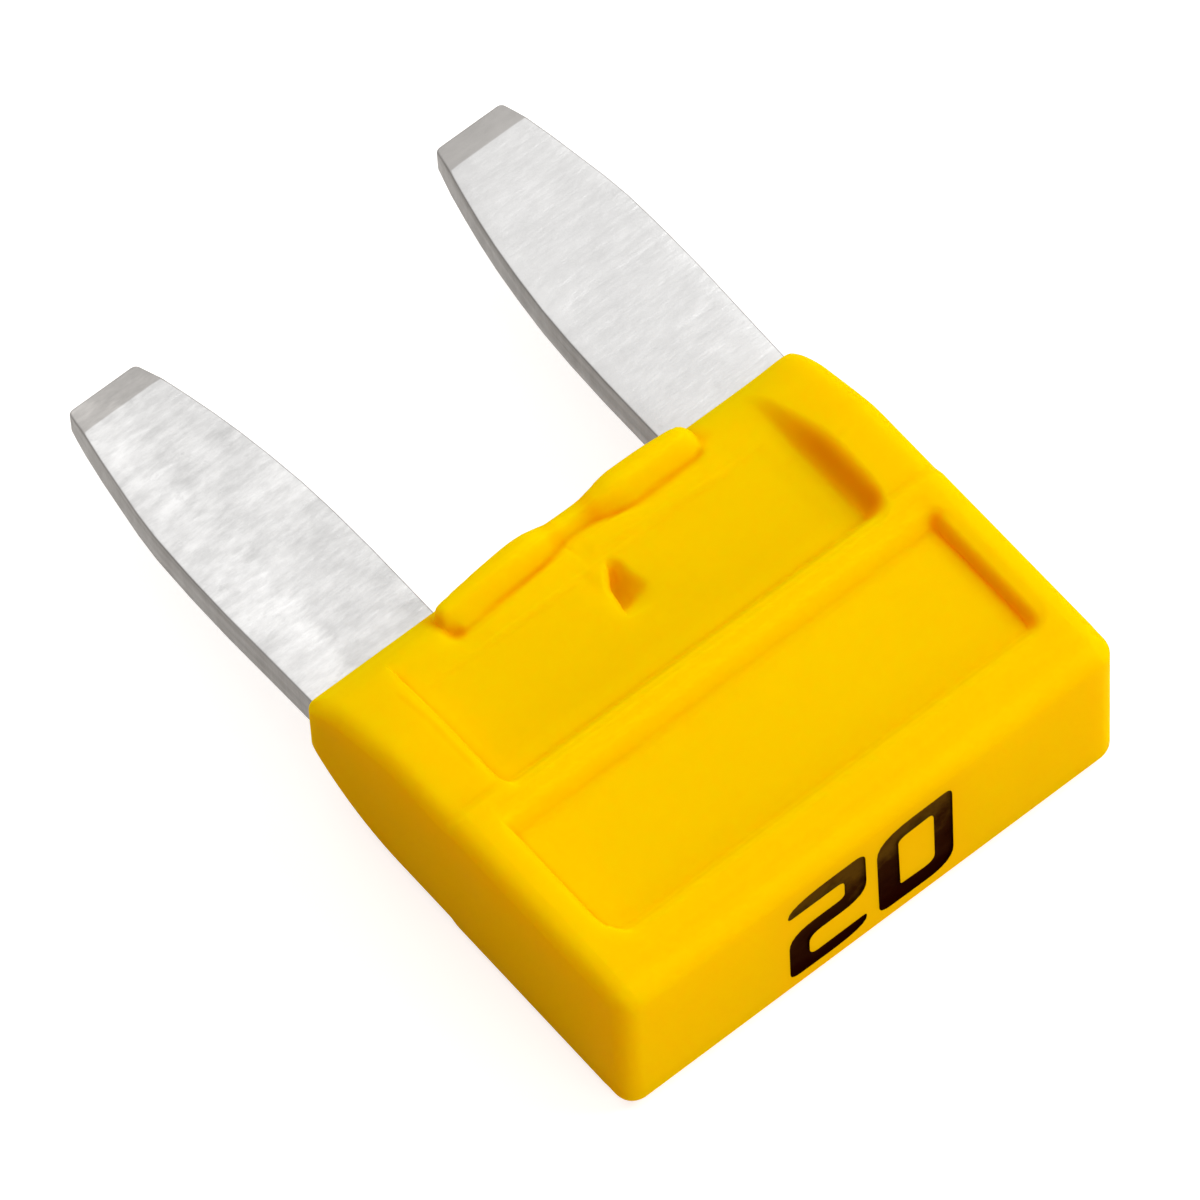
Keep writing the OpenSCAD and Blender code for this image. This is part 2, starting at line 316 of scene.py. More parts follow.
def base_height(y, plain):
    """Height of the border round the panels. The plain side has the CAD's arc as its slope."""
    step = BODY_T - STEP * ease((y - 4.6) / 0.26)
    if plain:
        return step - (SLOPE_R - np.sqrt(SLOPE_R ** 2 - np.clip(y - SLOPE_Y, 0, SLOPE_LEN) ** 2))
    return step - curve(y, TOP_Y, TOP_Z)


def field_to(x, y, x0, x1, y0, y1, r):
    """Distance outside a rounded rectangle, and how far that distance runs along y rather than x."""
    qx = np.abs(x - (x0 + x1) / 2) - (x1 - x0) / 2 + r
    qy = np.abs(y - (y0 + y1) / 2) - (y1 - y0) / 2 + r
    vx, vy = np.maximum(qx, 0), np.maximum(qy, 0)
    dist = np.hypot(vx, vy) + np.minimum(np.maximum(qx, qy), 0) - r
    return dist, vy ** 2 / (vx ** 2 + vy ** 2 + 1e-9)


def rib_rise(s, run, height, wall=1.0, after=2.0):
    """Rise of the rib from its foot at s = 0 to its crest at s = run, then on upward.

    wall is the steep share of the run, and after the slope beyond the crest."""
    t = np.clip(s / run, 0, 1)
    shape = 0.7 * ease(t / wall) + 0.3 * np.sin(math.pi / 2 * t)
    return height * shape + after * np.clip(s - run, 0, None)


def lip_rise(s, run, height):
    """Rise of a side wall: steep at its foot, with a round lip."""
    t = np.clip(s / run, 0, 1)
    return height * (1 - (1 - t) ** 2) ** 0.6 + 3 * np.clip(s - run, 0, None)


def bare_panel(x, y):
    """Panel in the number half: steep at its sides, soft at the number end, with the rib at the other end."""
    r = 0.10 + (0.17 - 0.11 * np.sign(x)) * ease((2.2 - y) / 0.3)
    s, along = field_to(x, y, -4.58, 4.66, 1.36, 3.89, r)
    soft = smooth_max(0 * s, 1.4 * s, 0.19)
    side = np.where(x > 0, lip_rise(s, 0.27, 0.38), smooth_max(0 * s, 5.0 * s, 0.05))
    side = side * (1 - along) + soft * along
    rib = rib_rise(s, 0.50, 0.35, 0.7, 0.6)
    along = along * (y > 2.7)
    return BARE_FLOOR + side * (1 - along) + rib * along


def deep_panel(x, y):
    """Deeper panel in the blade half, from the rib out over the blade end."""
    s, along = field_to(x, y, -4.06, 4.06, 4.97, 30, 0.12)
    side = np.where(x > 0, smooth_max(0 * s, 2.1 * s, 0.26), smooth_max(0 * s, 5.0 * s, 0.05))
    rib = rib_rise(s, 0.47, 0.65)
    return DEEP_FLOOR + side * (1 - along) + rib * along


def bead_shape(x, y, floor):
    """The floor with the bead on it: round towards the blade end, with a neck, and a groove behind its back."""
    r = curve(x, BEAD_X, BEAD_R)
    neck = np.exp(-((x - 0.1) / 0.55) ** 2)
    zc, yc = 3.05 - 0.08 * neck, 8.22 + 0.05 * neck
    v = y - yc
    foot = curve(x, FOOT_X, FOOT)
    groove = 0.065 * np.exp(-((v + foot - 0.03) / 0.12) ** 2)
    floor = floor - groove * ease((x - BEAD_X[0]) / 0.2) * ease((BEAD_X[-1] - x) / 0.2)
    front = smooth_max(floor, zc + np.sqrt(np.maximum(r * r - v * v, 0)), 0.06)
    lift = smooth_max(zc + r - floor, 0 * x, 0.06)
    back = floor + lift * np.cos(math.pi / 2 * np.clip(-v / foot, 0, 1)) ** 2
    inside_x = (x > BEAD_X[0]) & (x < BEAD_X[-1])
    return np.where(inside_x & (v > -foot), np.where(v < 0, back, np.where(v < r, front, floor)), floor)


def gate_depth(x, y):
    """The pit of the moulding gate: steep on its left, soft on its right."""
    u = x - curve(y, GATE_Y, GATE_X)
    along = curve(y, [6.1, 6.28, 6.5, 6.7, 7.0, 7.24], [0.0, 0.28, 0.90, 1.0, 0.62, 0.0])
    wide = curve(y, [6.0, 6.4, 6.7, 7.22], [0.70, 0.68, 0.56, 0.20])
    right = 1 - ease((u - 0.05) / (wide - 0.05))
    left = 0.34 * np.clip(1 + u / 0.16, 0, 1) ** 2
    return GATE_DEPTH * along * np.where(u > -0.012, right, left)


def fine_marks(x, y):
    """Faint mould marks, some hundredths of a millimetre high."""
    inner = ease((3.62 - x) / 0.06) * ease((x + 3.86) / 0.07) * ease((y - 5.25) / 0.07) * ease((7.3 - y) / 0.08)
    z = -0.022 * inner
    strip = ease((y - 7.40 + 0.1 * (x - 0.3)) / 0.12) * ease((7.85 - y) / 0.10)
    z = z + 0.030 * strip * ease((x + 0.05) / 0.2) * ease((3.0 - x) / 0.4)
    strip = ease((y - 7.16) / 0.16) * ease((7.85 - y) / 0.10)
    z = z + 0.020 * strip * ease((-0.2 - x) / 0.1) * ease((x + 2.6) / 0.5)
    z = z - 0.12 * hump(x, y, -2.76, 7.84, 0.15, 0.20)
    z = z - 0.03 * hump(x, y, -0.23, 7.83, 0.035, 0.12)
    z = z - 0.035 * hump(x, y, -0.38, 7.08, 0.12, 0.30)
    z = z - 0.03 * hump(x, y, 0.12, 6.25, 0.45, 0.45)
    return z


def rim_marks(x, y):
    """Small steps in the border, and a rise at one corner of the blade end."""
    z = -0.022 * ease((0.68 - y) / 0.12)
    z = z - 0.012 * ease((np.abs(x) - 5.06) / 0.12) * ease((4.9 - y) / 0.2)
    z = z + 0.07 * hump(x, y, 5.1, 8.4, 0.45, 0.30)
    return z


def top_height(x, y, plain):
    """Height of a broad face before its edges are rounded. The plain side has no bead, gate pit or fine marks."""
    z = np.minimum(bare_panel(x, y), deep_panel(x, y))
    blend = 0.16 + 0.19 * ease((y - 4.9) / 0.6) * ease(x + 3.5)
    z = smooth_min(base_height(y, plain) + rim_marks(x, y), z, blend)
    if plain:
        return z
    z = z + fine_marks(x, y) - gate_depth(x, y)
    return bead_shape(x, y, z)


def painted_shade_field(x, y):
    """How much painted shade each point gets, an orange darkening that stands in for shade: on the walls across x,
    most on the walls that turn away from the key light, and where the surface is concave elsewhere.
    """
    step = 0.04
    gx, gy = np.arange(-6.4, 6.4, step), np.arange(-1.0, 9.6, step)
    mx, my = np.meshgrid(gx, gy, indexing="ij")
    z = top_height(np.clip(mx, -HALF_W, HALF_W), np.clip(my, 0.0, 8.0), False)

    def blur(a, *sigmas):
        for sigma in sigmas:
            n = int(round(3 * sigma / step))
            w = np.exp(-0.5 * (np.arange(-n, n + 1) * step / sigma) ** 2)
            w /= w.sum()
            a = np.apply_along_axis(lambda r: np.convolve(np.pad(r, n, mode="edge"), w, mode="valid"), 0, a).T
        return a

    # deep measures how concave the surface is, for painted shade in the recesses and creases
    deep = (blur(z, 0.26, 0.11) - blur(z, 0.05, 0.05)) / 0.15
    deep = deep * (1 - 0.8 * ease((np.abs(mx) - 3.2) / 0.4)) * (1 + 1.3 * ease((my - 7.45) / 0.2))
    rise = np.gradient(blur(z, 0.04, 0.04), step, axis=0)
    # far marks the right wall of the deep panel, which turns away from the key light and gets the most painted shade,
    # and line is a thin line of painted shade beside its left wall
    far = ease((mx - 2.5) / 0.5) * ease((my - 4.5) / 0.5)
    # Walls that rise towards +x turn away from the key light, so they get more painted shade than walls that fall
    wall = np.where(rise > 0, 0.64 + 0.46 * far, 0.60) * ease(np.abs(rise) / (1.3 + 0.7 * far))
    wall = blur(wall, 0.03, 0.03) * (1 - far) + blur(wall, 0.10, 0.05) * far
    line = 0.32 * np.exp(-((mx + 4.36) / 0.07) ** 2) * ease((my - 5.1) / 0.3) * ease((7.7 - my) / 0.5)
    field = np.maximum(np.clip(deep, 0, 0.63), np.maximum(wall, line))
    i, j = (x - gx[0]) / step, (y - gy[0]) / step
    i0, j0 = np.floor(i).astype(int), np.floor(j).astype(int)
    a, b = i - i0, j - j0
    return (field[i0, j0] * (1 - a) * (1 - b) + field[i0 + 1, j0] * a * (1 - b)
            + field[i0, j0 + 1] * (1 - a) * b + field[i0 + 1, j0 + 1] * a * b)


def edge_drop(d, r):
    """How far a rounded edge of radius r lies below the face, at the distance d from the outline."""
    u = np.clip(d, 0, r)
    return r - np.sqrt(np.maximum(r * r - (r - u) ** 2, 0))


def nose_drop(d):
    """The same for the edge at the blade end, where the face slopes."""
    reach = NOSE_R * (1 - math.sin(NOSE_TURN))
    u = np.clip(d, 0, reach)
    arc = SLOPE_TOP - SLOPE_R + np.sqrt(SLOPE_R ** 2 - (SLOPE_LEN - u) ** 2)
    return np.where(d < reach, arc - (NOSE_Z + np.sqrt(np.maximum(NOSE_R ** 2 - (NOSE_R - u) ** 2, 0))), 0.0)


def grid_points():
    """Grid over a broad face, bent round its corners and fine on walls: x, y and the drop of the rounded edges."""
    ring = [EDGE_R * (1 - math.cos(math.radians(a))) for a in range(0, 91, 9)] + [0.38, CORNER]
    wing = [(-4.72, 0.06), (-4.54, 0.022), (-4.24, 0.04), (-4.02, 0.022), (-3.6, 0.06), (-2.98, 0.12),
            (-2.3, 0.055), (-0.6, 0.09), (0.7, 0.036), (1.4, 0.065), (2.3, 0.1), (3.05, 0.055), (3.6, 0.11),
            (3.98, 0.06), (4.56, 0.032), (4.86, 0.03), (5.05, 0.06)]
    xs = lines(-HALF_W + CORNER, *wing)
    ys = lines(CORNER, (1.12, 0.09), (1.42, 0.022), (3.92, 0.17), (5.05, 0.028), (6.0, 0.08), (7.2, 0.038),
               (7.7, 0.045), (BODY_LEN - CORNER, 0.022))
    xs = [-HALF_W + d for d in ring[:-1]] + xs + [HALF_W - d for d in ring[-2::-1]]
    ys = ring[:-1] + ys + [BODY_LEN - d for d in ring[-2::-1]]
    x, y = np.meshgrid(np.array(xs), np.array(ys), indexing="ij")
    # One column of the grid follows the steep edge of the gate pit
    column = min(xs, key=lambda v: abs(v + 0.13))
    shift = (curve(y, GATE_Y, GATE_X) - column) * ease((y - 5.7) / 0.3) * ease((7.6 - y) / 0.3)
    x = x + shift * np.exp(-((x - column) / 0.5) ** 2) * (np.abs(x) < 2.2)
    inner = HALF_W - CORNER
    a = np.clip(np.abs(x) - inner, 0, None) / CORNER
    near, far = np.clip(CORNER - y, 0, None) / CORNER, np.clip(y - BODY_LEN + CORNER, 0, None) / CORNER
    b = np.maximum(near, far)
    corner = (a > 0) & (b > 0)
    rho = np.maximum(a, b)
    safe_a, safe_b = np.where(corner, a, 1), np.where(corner, b, 1)
    # Each corner is a superellipse, nearly round at the number end, and sharper at the blade end and on the left
    power = np.where(far > 0, np.where(x > 0, 3.0, 6.0), 2.15)
    t = np.minimum(safe_a, safe_b) / np.maximum(safe_a, safe_b)
    size = rho / (1 + t ** power) ** (1 / power)
    big, small = size, size * t
    ux, uy = np.where(a >= b, big, small), np.where(a >= b, small, big)
    lean = np.where(a >= b, t ** (power - 1), 1 / np.maximum(t, 1e-6) ** (power - 1))
    theta = np.arctan(lean)
    cx = np.sign(x) * (inner + CORNER * ux)
    cy = np.where(near > 0, CORNER - CORNER * uy, BODY_LEN - CORNER + CORNER * uy)
    d_side, d_end = HALF_W - np.abs(x), np.minimum(y, 9)
    drop = edge_drop(d_side, EDGE_R) + edge_drop(d_end, EDGE_R) + nose_drop(BODY_LEN - y)
    d = CORNER * (1 - rho)
    side_drop = edge_drop(d, EDGE_R)
    mixed = np.where(far > 0, side_drop * np.cos(theta) ** 2 + nose_drop(d) * np.sin(theta) ** 2, side_drop)
    drop = np.where(corner, mixed, drop)
    return np.where(corner, cx, x), np.where(corner, cy, y), drop


# Outlines of the digits as corners (x, z, reach before, reach after), counter-clockwise seen from the number end
ZERO_OUT = [(0.06, 3.12, 0.80, 0.55), (0.09, 0.61, 0.22, 0.26), (1.75, 0.58, 0.62, 0.52), (1.74, 3.15, 0.24, 0.18)]
ZERO_IN = [(0.54, 2.68, 0.20, 0.14), (0.57, 1.13, 0.05, 0.05), (1.33, 1.08, 0.26, 0.24), (1.32, 2.72, 0.18, 0.12)]
TWO = [(-1.87, 3.12, 0.95, 0.32), (-1.89, 2.68, 0.10, 0.10), (-0.65, 2.67, 0.18, 0.14), (-0.65, 2.12, 0.14, 0.16),
       (-1.88, 2.12, 0.58, 0.46), (-1.88, 0.60, 0.20, 0.22), (-0.18, 0.57, 0.85, 0.32), (-0.18, 1.0, 0.08, 0.10),
       (-1.44, 0.99, 0.20, 0.20), (-1.44, 1.66, 0.24, 0.28), (-0.16, 1.66, 0.56, 0.50), (-0.18, 3.12, 0.24, 0.26)]

# Thickness of the ink, and depth of its stamped pockets, which is a hair more
INK = 0.1
POCKET = 0.104

# Outline of the slots for the element in the blade end, and their depth
CAVITY = [(-4.67, 1.45), (-2.37, 1.45), (-2.37, 1.4), (2.37, 1.4), (2.37, 1.45), (4.67, 1.45), (4.67, 2.35),
          (2.37, 2.35), (2.37, 2.4), (-2.37, 2.4), (-2.37, 2.35), (-4.67, 2.35)]
CAVITY_DEPTH = 7.3


def make_housing():
    """Two sheets joined by walls all round, with pockets for the number at one end and slots at the other."""
    x, y, drop = grid_points()
    nx, ny = x.shape
    top = top_height(x, y, False) - drop
    low = BODY_T - (top_height(x, y, True) - drop)
    verts = [(px, END_Y + py, pz) for px, py, pz in zip(x.ravel(), y.ravel(), top.ravel())]
    verts += [(px, END_Y + py, pz) for px, py, pz in zip(x.ravel(), y.ravel(), low.ravel())]
    n = nx * ny
    # Painted shade: how much each point of the upper sheet is darkened to orange
    painted_shade = painted_shade_field(x, y).ravel()
    faces = []
    for i in range(nx - 1):
        for j in range(ny - 1):
            a, b, c, d = i * ny + j, (i + 1) * ny + j, (i + 1) * ny + j + 1, i * ny + j + 1
            faces.append((a, b, c, d))
            faces.append((n + a, n + d, n + c, n + b))
    # Wall between the two sheets, all the way round
    loop = [i * ny for i in range(nx)] + [(nx - 1) * ny + j for j in range(1, ny)]
    loop += [i * ny + ny - 1 for i in range(nx - 2, -1, -1)] + [j for j in range(ny - 2, 0, -1)]
    rows = 14
    columns = []
    for k in loop:
        (px, py, zt), zb = verts[k], verts[n + k][2]
        column = [n + k]
        for r in range(1, rows):
            column.append(len(verts))
            verts.append((px, py, zb + (zt - zb) * r / rows))
        columns.append(column + [k])
    flat = HALF_W - CORNER + 1e-6
    at_end = [abs(verts[k][0]) <= flat and verts[k][1] < END_Y + 1e-6 for k in loop]
    at_nose = [abs(verts[k][0]) <= flat and verts[k][1] > NOSE_Y - 1e-6 for k in loop]
    m = len(loop)
    for q in range(m):
        p = (q + 1) % m
        if (at_end[q] and at_end[p]) or (at_nose[q] and at_nose[p]):
            continue
        for r in range(rows):
            faces.append((columns[q][r], columns[p][r], columns[p][r + 1], columns[q][r + 1]))

    def end_wall(flags, holes, flip):
        """Flat end with holes in it. Returns the first vertex of each hole, and the end's y."""
        ids = [q for q in range(m) if flags[q]]
        ids.sort(key=lambda q: verts[loop[q]][0])
        border = [columns[q][0] for q in ids] + columns[ids[-1]][1:-1]
        border += [columns[q][-1] for q in reversed(ids)] + columns[ids[0]][-2:0:-1]
        outer = [(verts[v][0], verts[v][2]) for v in border]
        level = verts[border[0]][1]
        index = list(border)
        starts = []
        for hole in holes:
            starts.append(len(verts))
            index += range(len(verts), len(verts) + len(hole))
            verts.extend((px, level, pz) for px, pz in hole)
        for f in fill_plane(outer, holes):
            lay(verts, faces, [index[v] for v in f], flip)
        return starts, level

    def tube(start, count, level, depths, loops, flip):
        """Walls that run inward from a hole's edge, through the given loops at the given depths."""
        rings = [list(range(start, start + count))]
        for depth, ring in zip(depths, loops):
            rings.append(list(range(len(verts), len(verts) + count)))
            verts.extend((px, level + depth, pz) for px, pz in ring)
        skin(faces, rings, flip)
        return rings[-1]

    # The plastic inside the 0 is an island, so the plane is filled once round the outlines and once inside the 0
    two, zero, island = round_loop(TWO), round_loop(ZERO_OUT), round_loop(ZERO_IN)
    starts, level = end_wall(at_end, [two, zero], False)
    two_floor, zero_floor = [tube(start, len(ring), level, [POCKET], [ring], False)
                             for start, ring in zip(starts, (two, zero))]
    first = len(verts)
    verts.extend((px, level, pz) for px, pz in island)
    for f in fill_plane(island, []):
        lay(verts, faces, [first + v for v in f])
    island_floor = tube(first, len(island), level, [POCKET], [island], True)
    for f in fill_plane(two, []):
        lay(verts, faces, [two_floor[v] for v in f])
    for f in fill_plane(zero, [island]):
        lay(verts, faces, [(zero_floor + island_floor)[v] for v in f])
    # The slots for the element, closed at their far end. A ring close to the mouth keeps its edge crisp
    starts, level = end_wall(at_nose, [CAVITY], True)
    last = tube(starts[0], len(CAVITY), level, [-0.03, -CAVITY_DEPTH], [CAVITY, CAVITY], True)
    faces.append(tuple(reversed(last)))
    obj = make_object("housing_moulding", verts, faces, 38.0)
    # The painted shade goes on the upper sheet's vertices as an attribute that the plastic material reads
    values = np.zeros(len(obj.data.vertices), dtype=np.float32)
    values[:n] = painted_shade
    obj.data.attributes.new("painted_shade", "FLOAT", "POINT").data.foreach_set("value", values)
    return obj


# Fuse element: stamped blades with rolled edges and coined tips, tabs and link

# The element sits a little to the right of the middle
ELEMENT_X = 0.05

# Outer and inner edge of the right blade as (y, x)
OUTER = [(0.6, 5.27), (1.5, 5.29), (3.0, 5.33), (4.0, 5.33), (5.0, 5.30), (5.6, 5.24), (6.2, 5.15), (6.8, 5.06),
         (7.3, 4.97), (7.7, 4.90), (8.0, 4.84)]
INNER = [(0.6, 2.56), (2.4, 2.57), (3.4, 2.60), (4.2, 2.65), (5.0, 2.74), (5.7, 2.84), (6.3, 2.95), (6.9, 3.08),
         (7.4, 3.20), (8.0, 3.35)]

# Where the hidden tabs start, their outer edge, and where they widen into the blades
TAB_START, TAB_X, TAB_END = -6.7, 4.62, 0.55

# Radii of the blades' rolled edges, above and below, of their ends and of their corners
ROLL_TOP, ROLL_LOW = 0.05, 0.025
TIP_ROLL, TIP_CORNER = 0.05, 0.1

# How far each face is coined down at the tip, and over which length
COIN_DROP, COIN_LEN = 0.14, 0.58

# Cross-section of the link, the place and radius of its bends, and how far it reaches into the tabs
LINK = [(-0.25, 1.755), (-0.22, 1.725), (0.22, 1.725), (0.25, 1.755), (0.25, 2.045), (0.22, 2.075), (-0.22, 2.075),
        (-0.25, 2.045)]
LINK_X, LINK_Y, BEND = 0.87, -6.0, 0.75
LINK_END = 2.77


def blade_section(x0, x1, z0, z1):
    """Closed loop in (x, z) with rolled corners, counter-clockwise seen from the tip side."""
    pts, wide, high = [], 10, 3
    # Each corner: its place, radius, first angle, the point where the next corner starts, and the cells up to there
    corners = ((x0, z0, ROLL_LOW, 180, (x1 - ROLL_LOW, z0), wide), (x1, z0, ROLL_LOW, 270, (x1, z1 - ROLL_TOP), high),
               (x1, z1, ROLL_TOP, 0, (x0 + ROLL_TOP, z1), wide), (x0, z1, ROLL_TOP, 90, (x0, z0 + ROLL_LOW), high))
    for cx, cz, r, a0, nxt, steps in corners:
        sx, sz = (1 if cx == x0 else -1), (1 if cz == z0 else -1)
        for k in range(4):
            a = math.radians(a0 + 30 * k)
            pts.append((cx + sx * r + r * math.cos(a), cz + sz * r + r * math.sin(a)))
        for k in range(1, steps):
            t = k / steps
            pts.append((pts[-k][0] * (1 - t) + nxt[0] * t, pts[-k][1] * (1 - t) + nxt[1] * t))
    return pts


def loft(sections, verts, faces):
    """Skin over sections of (y, loop), closed at both ends."""
    count, rings = len(sections[0][1]), []
    for y, loop in sections:
        rings.append(list(range(len(verts), len(verts) + count)))
        verts.extend((px, y, pz) for px, pz in loop)
    for a, b in zip(rings, rings[1:]):
        for k in range(count):
            j = (k + 1) % count
            faces.append((a[k], b[k], b[j], a[j]))
    faces.append(tuple(rings[0]))
    faces.append(tuple(reversed(rings[-1])))


def quarter(r, past):
    """How far a round of radius r has turned in, at the distance past from its start."""
    return r - math.sqrt(max(r ** 2 - max(past, 0) ** 2, 0))


def make_element():
    verts, faces = [], []
    outer_y, outer_x = zip(*OUTER)
    inner_y, inner_x = zip(*INNER)
    for side in (-1, 1):
        sections = []
        ys = lines(TAB_START, (TAB_END, 0.6), (0.6, 0.05), (7.4, 0.14), (7.8, 0.06), (7.94, 0.03), (TIP_Y, 0.01))
        for y in ys:
            x0 = float(np.interp(y, inner_y, inner_x))
            x1 = TAB_X if y < TAB_END else float(np.interp(y, outer_y, outer_x))
            corner = quarter(TIP_CORNER, y - TIP_Y + TIP_CORNER)
            a, b = sorted((side * (x0 + corner) + ELEMENT_X, side * (x1 - corner) + ELEMENT_X))
            coined = COIN_DROP * min(max((y - TIP_Y + COIN_LEN) / COIN_LEN, 0), 1)
            drop = coined + quarter(TIP_ROLL, y - TIP_Y + TIP_ROLL)
            sections.append((y, blade_section(a, b, BLADE_BOTTOM + drop, BLADE_TOP - drop)))
        loft(sections, verts, faces)
    # The S-shaped link, swept between the tabs
    path = [(-LINK_END, LINK_Y + 4 * BEND)]
    bends = ((LINK_X, LINK_Y + 3 * BEND, range(90, -91, -15)), (-LINK_X, LINK_Y + BEND, range(90, 271, 15)))
    for x, y, angles in bends:
        path += [(x + BEND * math.cos(math.radians(a)), y + BEND * math.sin(math.radians(a))) for a in angles]
    path += [(LINK_END, LINK_Y)]
    rings = []
    for k, (px, py) in enumerate(path):
        ax, ay = path[max(k - 1, 0)]
        bx, by = path[min(k + 1, len(path) - 1)]
        length = math.hypot(bx - ax, by - ay)
        nx, ny = -(by - ay) / length, (bx - ax) / length
        rings.append(list(range(len(verts), len(verts) + len(LINK))))
        verts.extend((px + nx * u + ELEMENT_X, py + ny * u, z) for u, z in LINK)
    skin(faces, rings)
    faces.append(tuple(reversed(rings[0])))
    faces.append(tuple(rings[-1]))
    return make_object("stamped_element", verts, faces, 50.0)


# Digits: ink that lines the floor and the walls of the stamped pockets

# How far the ink's edge lies inside its outline, at each depth
INK_EDGE = [(0.003, INK), (0.003, 0.002), (0.008, 0.022), (0.015, 0.040), (0.026, 0.050)]


def make_digits():
    verts, faces = [], []

    def level_ring(loop, depth):
        first = len(verts)
        verts.extend((px, END_Y + depth, pz) for px, pz in loop)
        return list(range(first, first + len(loop)))

    for loops in ([TWO], [ZERO_OUT, ZERO_IN]):
        ends = []
        # The first loop is the outline, and a second one is the hole in it
        for loop, sign in zip(map(round_loop, loops), (1, -1)):
            rings = [level_ring(shrink(loop, sign * inset), depth) for inset, depth in INK_EDGE]
            skin(faces, rings, sign < 0)
            ends.append((rings[0], rings[-1]))
        for which, flip in ((1, False), (0, True)):
            index = [v for pair in ends for v in pair[which]]
            flat = [[(verts[v][0], verts[v][2]) for v in pair[which]] for pair in ends]
            for f in fill_plane(flat[0], flat[1:]):
                lay(verts, faces, [index[v] for v in f], flip)
    return make_object("ink_20", verts, faces, 22.0)


# Materials

def new_material(name):
    mat = bpy.data.materials.new(name)
    mat.use_nodes = True
    tree = mat.node_tree
    return mat, tree, tree.nodes["Principled BSDF"]


def object_axes(tree):
    """The part's own x, y and z, in metres."""
    split = tree.nodes.new("ShaderNodeSeparateXYZ")
    tree.links.new(tree.nodes.new("ShaderNodeTexCoord").outputs["Object"], split.inputs[0])
    return split.outputs


def noise(tree, scale, detail, rough=0.55):
    """Noise with a scale for each axis of the part."""
    mapping = tree.nodes.new("ShaderNodeMapping")
    mapping.inputs["Scale"].default_value = scale
    tree.links.new(tree.nodes.new("ShaderNodeTexCoord").outputs["Object"], mapping.inputs["Vector"])
    node = tree.nodes.new("ShaderNodeTexNoise")
    node.inputs["Scale"].default_value = 1.0
    node.inputs["Detail"].default_value = detail
    node.inputs["Roughness"].default_value = rough
    tree.links.new(mapping.outputs[0], node.inputs["Vector"])
    return node.outputs[0]


def ramp(tree, value, stops):
    """Colour ramp through stops of (position, colour)."""
    node = tree.nodes.new("ShaderNodeValToRGB")
    steps = node.color_ramp.elements
    steps[0].position, steps[0].color = stops[0]
    steps[1].position, steps[1].color = stops[-1]
    for place, colour in stops[1:-1]:
        steps.new(place).color = colour
    tree.links.new(value, node.inputs[0])
    return node.outputs[0]


def feed(tree, node, values):
    """Set or link the inputs of a node, from pairs of (input number, constant or output of another node)."""
    for k, value in values:
        if isinstance(value, (int, float, tuple)):
            node.inputs[k].default_value = value
        else:
            tree.links.new(value, node.inputs[k])


def math_node(tree, kind, *values):
    node = tree.nodes.new("ShaderNodeMath")
    node.operation = kind
    feed(tree, node, enumerate(values))
    return node.outputs[0]


def multiply(tree, a, b):
    return math_node(tree, "MULTIPLY", a, b)


def mix_colour(tree, fac, a, b, kind="MIX"):
    node = tree.nodes.new("ShaderNodeMix")
    node.data_type = "RGBA"
    node.blend_type = kind
    feed(tree, node, ((0, fac), (6, a), (7, b)))
    return node.outputs[2]


def bump(tree, shader, height, strength, distance):
    node = tree.nodes.new("ShaderNodeBump")
    node.inputs["Strength"].default_value = strength
    node.inputs["Distance"].default_value = distance
    tree.links.new(height, node.inputs["Height"])
    tree.links.new(node.outputs[0], shader.inputs["Normal"])


def grey(v):
    return (v, v, v, 1.0)


def plastic_material():
    mat, tree, shader = new_material("yellow_plastic")
    colour = ramp(tree, noise(tree, (260, 260, 260), 3.0),
                  [(0.30, (0.95, 0.578, 0.0, 1)), (0.55, (0.96, 0.591, 0.0, 1)), (0.75, (0.97, 0.604, 0.0, 1))])
    # Painted shade: concave places and walls, most the walls that turn away from the key light, are darkened to
    # orange
    painted_shade = tree.nodes.new("ShaderNodeAttribute")
    painted_shade.attribute_name = "painted_shade"
    painted_shade_tint = ramp(tree, painted_shade.outputs["Fac"],
                [(0.12, (1, 1, 1, 1)), (0.5, (0.96, 0.82, 1, 1)), (1.0, (0.80, 0.46, 1, 1))])
    tree.links.new(mix_colour(tree, 1.0, colour, painted_shade_tint, "MULTIPLY"), shader.inputs["Base Color"])
    rough = ramp(tree, noise(tree, (900, 900, 900), 4.0), [(0.3, grey(0.42)), (0.7, grey(0.52))])
    tree.links.new(rough, shader.inputs["Roughness"])
    shader.inputs["Specular IOR Level"].default_value = 0.003
    # Less light runs through the plastic round the number, so that the ink casts no green edge there
    place = object_axes(tree)
    beside = math_node(tree, "ABSOLUTE", math_node(tree, "ADD", multiply(tree, place[0], 1 / MM), 0.07))
    near_x = ramp(tree, multiply(tree, beside, 0.25), [(0.48, grey(1.0)), (0.60, grey(0.0))])
    behind = math_node(tree, "ADD", multiply(tree, place[1], 1 / MM), -END_Y)
    near_y = ramp(tree, behind, [(0.05, grey(1.0)), (0.40, grey(0.0))])
    near = multiply(tree, near_x, near_y)
    weight = math_node(tree, "SUBTRACT", 0.8, multiply(tree, near, 0.6))
    tree.links.new(weight, shader.inputs["Subsurface Weight"])
    shader.inputs["Subsurface Radius"].default_value = (0.8, 0.43, 0.03)
    shader.inputs["Subsurface Scale"].default_value = 0.0016
    grain = noise(tree, (6000, 6000, 6000), 3.0)
    waves = noise(tree, (420, 260, 420), 2.0)
    height = math_node(tree, "ADD", multiply(tree, grain, 0.06), waves)
    bump(tree, shader, height, 0.5, 0.00002)
    return mat


